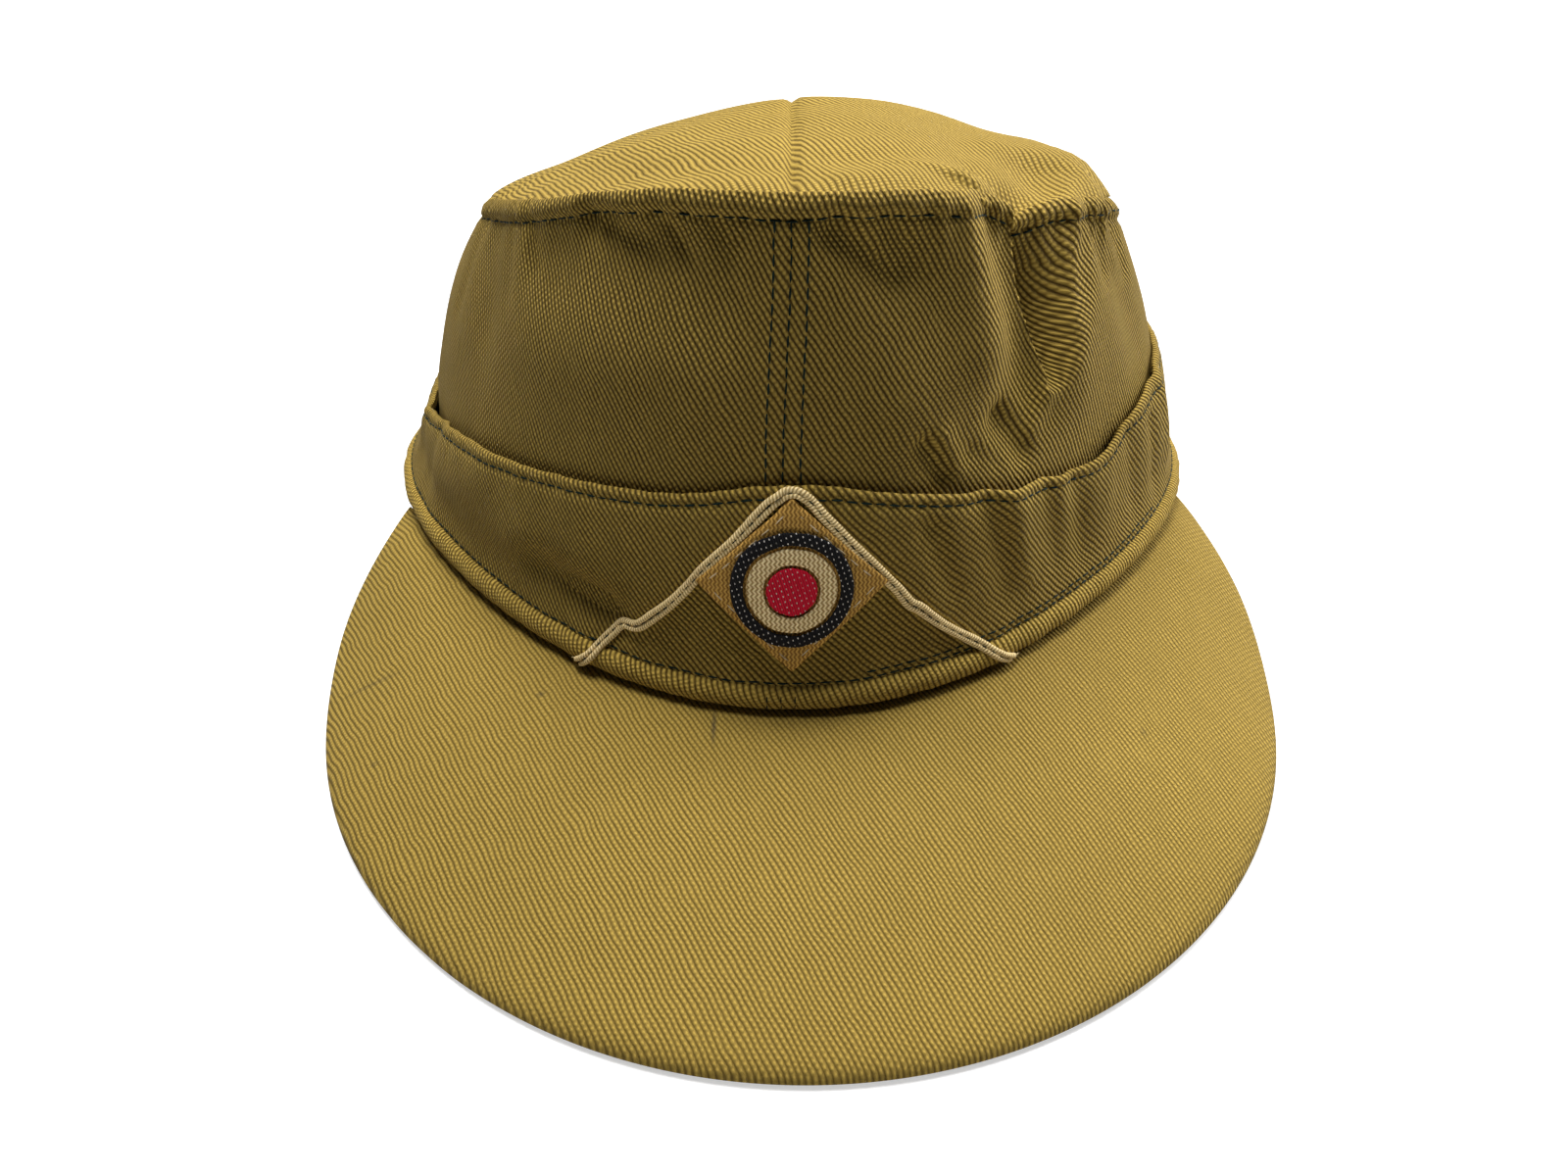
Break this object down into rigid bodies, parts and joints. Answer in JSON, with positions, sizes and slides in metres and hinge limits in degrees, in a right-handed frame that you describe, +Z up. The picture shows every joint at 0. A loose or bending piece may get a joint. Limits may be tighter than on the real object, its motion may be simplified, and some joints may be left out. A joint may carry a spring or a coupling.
{
  "type": "tropical field cap",
  "caption": "Soft twill field cap with a stiff cloth-covered peak, a turned-up flap, a rolled hem, a flat braid chevron and a round woven badge; it rests on its peak and hem.",
  "frame": {"origin": "on the table under the middle of the cap's box", "axes": "+Z up from the table, -Y towards the tip of the peak, +X to the right of someone who looks at the front of the cap"},
  "size_m": [0.1934, 0.2674, 0.1105],
  "materials": {
    "twill": "matt cotton twill, khaki",
    "braid": "cream flat braid with a faint sheen",
    "badge_cloth": "tan woven cloth",
    "black_thread": "black woven thread with white flecks",
    "cream_thread": "cream woven thread in zigzag ribs",
    "red_thread": "red woven thread with white flecks"
  },
  "bodies": {
    "root": {"crown_side_left": "twill", "crown_side_right": "twill", "crown_top_left": "twill", "crown_top_right": "twill", "flap_left": "twill", "flap_right": "twill", "hem_roll": "twill", "peak": "twill", "soutache_braid": "braid", "cockade_patch": "badge_cloth", "cockade_ring": "black_thread", "cockade_field": "cream_thread", "cockade_dot": "red_thread"}
  },
  "joints": []
}
